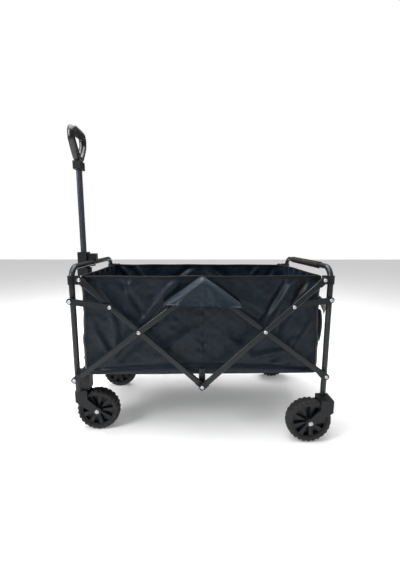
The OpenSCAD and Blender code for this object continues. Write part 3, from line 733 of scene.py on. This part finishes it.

# ---------------------------------------------------------------- Floor mat
# Four stiff boards sewn into a padded black mat that lies on the tub's base. It has a soft
# valley at each of the three folds, and moves with the tub.

mat_low, mat_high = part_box("floor_boards")
mat_half_x, mat_half_y = (mat_high.x - mat_low.x) / 2, (mat_high.y - mat_low.y) / 2
half_board = (mat_high.z - mat_low.z) / 2
board_folds = (-0.5, 0.0, 0.5)
spread = np.linspace(-1, 1, 181)[None, :]
belt = np.linspace(0, 2 * np.pi, 120, endpoint=False)[:, None]
edge_y = np.sign(np.cos(belt)) * np.abs(np.cos(belt)) ** 0.22
rise = np.sign(np.sin(belt)) * np.abs(np.sin(belt)) ** 0.8
valley = sum(np.exp(-((spread - place) / 0.012) ** 2) for place in board_folds)
taper = (1 - np.abs(spread) ** 40)
mat_x = (mat_low.x + mat_high.x) / 2 + spread * mat_half_x
mat_y = edge_y * mat_half_y * (0.985 + 0.015 * taper)
mat_z = mat_low.z + half_board + rise * half_board * taper * (1 - 0.75 * valley * (rise > 0))
mat_z = mat_z + 0.0012 * lattice_noise(mat_x, mat_y, 0.05, 29) * np.clip(rise, 0, 1) * taper
mat_points, mat_uv = grid(mat_x, mat_y, mat_z), grid(mat_x, mat_y)
floor_mat = skin("floor_mat", mat_points.swapaxes(0, 1), mat_uv.swapaxes(0, 1), caps=(0, -1))
mat_cloth = cloth("mat_cloth", (0.004, 0.0055, 0.0075), (0.013, 0.017, 0.023), rough=0.6)
floor_mat.data.materials.append(mat_cloth)
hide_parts("floor_boards")
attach(floor_mat, "front_frame")
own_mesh(floor_mat)

# ---------------------------------------------------------------- Centre flaps
# On each side a triangle of the same cloth is sewn to the middle of the rim. It passes over the
# lower braces where they meet and hangs outside them to a hem.

flap_reach = 0.127
flap_top = tub_high.z - 0.0005
flap_hem = tub_high.z - 0.091
flap_slope, hem_slope = 0.745, 0.040
flap_in = side_half + 0.0045
flap_out = side_half + 0.0535
ridge_round = 0.008
roll_wide, roll_tall = 0.030, 0.022


def centre_flap(name, side, seed):
    """Across runs from one corner to the other, and down runs from the rim out over the braces.

    The ridge falls from the middle at the braces' slope. The section goes level out from the
    wall, rolls over the braces round a quarter of an ellipse and hangs to the hem. Where it
    hangs, a pleat, streaks of noise and rays from the top move it outwards."""
    across = np.linspace(-1, 1, 150)[None, :]
    down = np.linspace(0, 1, 64)[:, None]
    x = across * flap_reach
    ridge = flap_top - flap_slope * (np.sqrt(x**2 + ridge_round**2) - ridge_round)
    hem = flap_hem - hem_slope * x + 0.0020 * np.sin(x / 0.016) * (1 - np.abs(across))
    hem = np.minimum(hem, ridge - 0.0025)
    bend, level_share = 0.45, 0.4
    over = np.clip(down / bend, 0, 1)
    hang = np.clip((down - bend) / (1 - bend), 0, 1)
    level = np.clip(over / level_share, 0, 1)
    roll = np.clip((over - level_share) / (1 - level_share), 0, 1) * np.pi / 2
    out = flap_in + (flap_out - roll_wide - flap_in) * level + roll_wide * np.sin(roll)
    deep = np.minimum(roll_tall, 0.75 * (ridge - hem))
    z = ridge - deep * (1 - np.cos(roll)) + (hem - ridge + deep) * hang
    pleat = 0.0022 * np.exp(-(x / 0.006) ** 2) - 0.0014 * np.exp(-((x - 0.014) / 0.008) ** 2)
    streak = 0.0020 * lattice_noise(x * 1.6, z * 0.35, 0.020, seed)
    streak = streak + 0.0010 * lattice_noise(x, z, 0.009, seed + 1)
    rays = 0.0016 * np.sin(np.arctan2(x, flap_top + 0.02 - z) * 17)
    tuck = -0.0040 * np.exp(-(x / 0.035) ** 2) * np.sin(np.clip(hang, 0, 1) * np.pi * 0.6)
    outward = (pleat + streak + rays + 0.0030) * hang**0.6 + tuck + 0.0022 * hang**2
    points = grid(tub_middle + x, side * (out + outward), z)
    return skin(name, points, grid(x, down * 0.13), wrap=False)


# The tub's oxford cloth in a lighter copy: the extra lightness is painted light, for the light that
# falls on the flap's sloped shoulders over the braces.
flap_cloth_painted_lit = cloth("flap_cloth_painted_lit", (0.0055, 0.0095, 0.014), (0.020, 0.032, 0.046), rough=0.36,
                   sheen=0.1)
for side_name, side, seed in (("near", -1, 41), ("far", 1, 47)):
    flap = centre_flap(f"centre_flap_{side_name}", side, seed)
    flap.data.materials.append(flap_cloth_painted_lit)
    thicken(flap, 0.0011, offset=0.0)
    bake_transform(flap)

# ---------------------------------------------------------------- Rear pocket
# A gathered pouch of the tub's cloth on the outside of the rear wall, with a fold of its
# grey-beige lining showing above its mouth.

pocket_half = 0.212
pocket_low, pocket_high = tub_low.z + 0.113, tub_low.z + 0.229
pocket_belly = 0.021
lining_half, lining_cut = 0.022, 0.055
lining_middle = -0.188
lining_top = tub_high.z - 0.074
wall_lean = (base_half - rim_half) / tub_height


def rear_wall_x(z):
    """Where the rear wall stands at a height: it leans in towards the rim."""
    return tub_high.x - wall_lean * (z - tub_low.z)


side_share = np.linspace(-1, 1, 110)[None, :]
lift = np.linspace(0, 1, 50)[:, None]
pocket_y = side_share * pocket_half
pocket_z = pocket_low + (pocket_high - pocket_low) * lift + 0.006 * np.sin(side_share * 2.2) * lift
belly = np.clip(1 - side_share**12, 0, 1) ** 0.5
belly = belly * np.sin(np.pi * np.clip(0.06 + 0.80 * lift, 0, 1)) ** 0.6
crinkle = lattice_noise(pocket_y, 0.5 * pocket_z, 0.022, 53) * 0.0030 * belly
pocket_x = rear_wall_x(pocket_z) + 0.0035 + pocket_belly * belly + crinkle
pocket_points, pocket_uv = grid(pocket_x, pocket_y, pocket_z), grid(pocket_y, pocket_z)
rear_pocket = skin("rear_pocket", pocket_points, pocket_uv, wrap=False)
rear_pocket.data.materials.append(oxford)
thicken(rear_pocket, 0.0012, offset=0.0)

lining_y = lining_middle + side_share * lining_half
lining_drop = np.clip(1 - 0.6 * np.abs(side_share), 0.04, 1)
lining_z = lining_top - 0.070 * lining_drop * lift
lining_x = rear_wall_x(lining_z) + 0.006 + 0.022 * lift + 0.0015 * np.sin(lift * 9 + side_share)
lining_points, lining_uv = grid(lining_x, lining_y, lining_z), grid(lining_y, lining_z)
pocket_lining = skin("pocket_lining", lining_points, lining_uv, wrap=False)
lining_cloth = cloth("lining_cloth", (0.20, 0.18, 0.15), (0.34, 0.31, 0.26), rough=0.7, sheen=0.1)
pocket_lining.data.materials.append(lining_cloth)
thicken(pocket_lining, 0.0010, offset=0.0)

for piece, flat in (
    (rear_pocket, (2 * pocket_half, pocket_high - pocket_low)),
    (pocket_lining, (2 * lining_half, lining_cut)),
):
    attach(piece, "front_frame")
    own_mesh(piece)

# ---------------------------------------------------------------- Foam sleeve
# The rear hoop's top bar wears a brown-black foam grip with finger scallops underneath. It is
# slid on before the tube is bent, and its two ends are rounded.

sleeve_low, sleeve_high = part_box("rear_grip")
sleeve_radius = (sleeve_high.z - sleeve_low.z) / 2
sleeve_middle = (sleeve_low + sleeve_high) / 2
along_bar = np.linspace(-1, 1, 200)[:, None]
round_bar = np.linspace(0, 2 * np.pi, 40, endpoint=False)[None, :]
rounded_end = np.clip((1 - np.abs(along_bar)) / 0.02, 0, 1) ** 0.5
scallop = 0.5 - 0.5 * np.cos(2 * np.pi * along_bar * 7.5)
under = np.clip(-np.sin(round_bar) + 0.1, 0, 1)
sleeve_r = (sleeve_radius - 0.0022 * scallop * under) * (0.80 + 0.20 * rounded_end)
sleeve_points = grid(
    sleeve_middle.x + sleeve_r * np.cos(round_bar),
    sleeve_middle.y + along_bar * (sleeve_high.y - sleeve_low.y) / 2,
    sleeve_middle.z + sleeve_r * np.sin(round_bar),
)
foam_sleeve = skin("foam_sleeve", sleeve_points, caps=(0, -1))
foam = coated("foam_rubber", (0.009, 0.0078, 0.0068), (0.024, 0.0205, 0.018), 0.75, rubbed=0.4,
              scale=900.0, bump=0.6)
foam_sleeve.data.materials.append(foam)
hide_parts("rear_grip")
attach(foam_sleeve, "rear_frame")

# ---------------------------------------------------------------- Pull grip
# A closed D of glossy black plastic: two limbs spread from a narrow neck to a thick top bar,
# which has a ribbed rubber pad let into its underside.

grip_low, grip_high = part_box("handle_grip")
grip_x = (grip_low.x + grip_high.x) / 2
bar_radius = 0.0148
bar_z = grip_high.z - bar_radius
limb_y = grip_high.y - 0.011
neck_z = grip_low.z + 0.008


def smooth_loop(stations, count, passes):
    """A closed polygon resampled evenly and rounded by repeated averaging of neighbours."""
    closed = np.vstack([stations, stations[:1]])
    run = np.concatenate([[0], np.cumsum(np.linalg.norm(np.diff(closed[:, :2], axis=0), axis=1))])
    at = np.linspace(0, run[-1], count, endpoint=False)
    loop = np.stack([np.interp(at, run, closed[:, k]) for k in range(closed.shape[1])], axis=-1)
    for _ in range(passes):
        loop = (np.roll(loop, 1, axis=0) + 2 * loop + np.roll(loop, -1, axis=0)) / 4
    return loop


# Across, height, half width in the plane of the grip and half depth along the wagon.
half_outline = [
    (0.000, neck_z + 0.002, 0.011, 0.0148), (0.013, neck_z + 0.003, 0.014, 0.0148),
    (0.034, neck_z + 0.027, 0.0125, 0.0140), (limb_y - 0.001, neck_z + 0.060, 0.0118, 0.0132),
    (limb_y - 0.001, bar_z - 0.014, 0.0120, 0.0138), (limb_y - 0.012, bar_z, 0.0140, 0.0147),
    (0.020, bar_z, bar_radius, 0.0148),
]
stations = np.array(half_outline + [(-y, z, a, b) for y, z, a, b in reversed(half_outline[1:])])
loop = smooth_loop(stations, count=260, passes=26)
heading = np.roll(loop[:, :2], -1, axis=0) - np.roll(loop[:, :2], 1, axis=0)
heading = heading / np.linalg.norm(heading, axis=1, keepdims=True)
around = np.linspace(0, 2 * np.pi, 32, endpoint=False)[None, :]
squareness = 0.85
oval_in = np.sign(np.cos(around)) * np.abs(np.cos(around)) ** squareness * loop[:, 2:3]
oval_deep = np.sign(np.sin(around)) * np.abs(np.sin(around)) ** squareness * loop[:, 3:4]
grip_points = grid(
    grip_x + oval_deep,
    loop[:, 0:1] + heading[:, 1:2] * oval_in,
    loop[:, 1:2] - heading[:, 0:1] * oval_in,
)
pull_grip = skin("pull_grip", grip_points, ring=True)
gloss_black = coated("gloss_black", (0.003, 0.0034, 0.004), (0.007, 0.0076, 0.0085), 0.26,
                     rubbed=0.03, scale=120.0, bump=0.015, coat=0.35, shine=0.4)
pull_grip.data.materials.append(gloss_black)
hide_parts("handle_grip")
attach(pull_grip, "handle_upper")

pad_half = 0.040
pad_core = 0.0135
pad_along = np.linspace(-1, 1, 120)[:, None]
pad_round = np.linspace(0, 2 * np.pi, 36, endpoint=False)[None, :]
pad_under = np.clip(-np.sin(pad_round) + 0.15, 0, 1)
pad_ribs = 0.0009 * (0.5 + 0.5 * np.cos(pad_along * np.pi * 9)) * pad_under
pad_swell = 0.0030 * np.sqrt(np.clip(1 - pad_along**8, 0, 1))
pad_r = pad_core + (pad_swell + pad_ribs) * np.clip(3 * pad_under, 0, 1)
pad_points = grid(
    grip_x + pad_r * np.cos(pad_round), pad_along * pad_half, bar_z + pad_r * np.sin(pad_round),
)
grip_pad = skin("grip_pad", pad_points, caps=(0, -1))
grip_pad.data.materials.append(foam)
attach(grip_pad, "handle_upper")
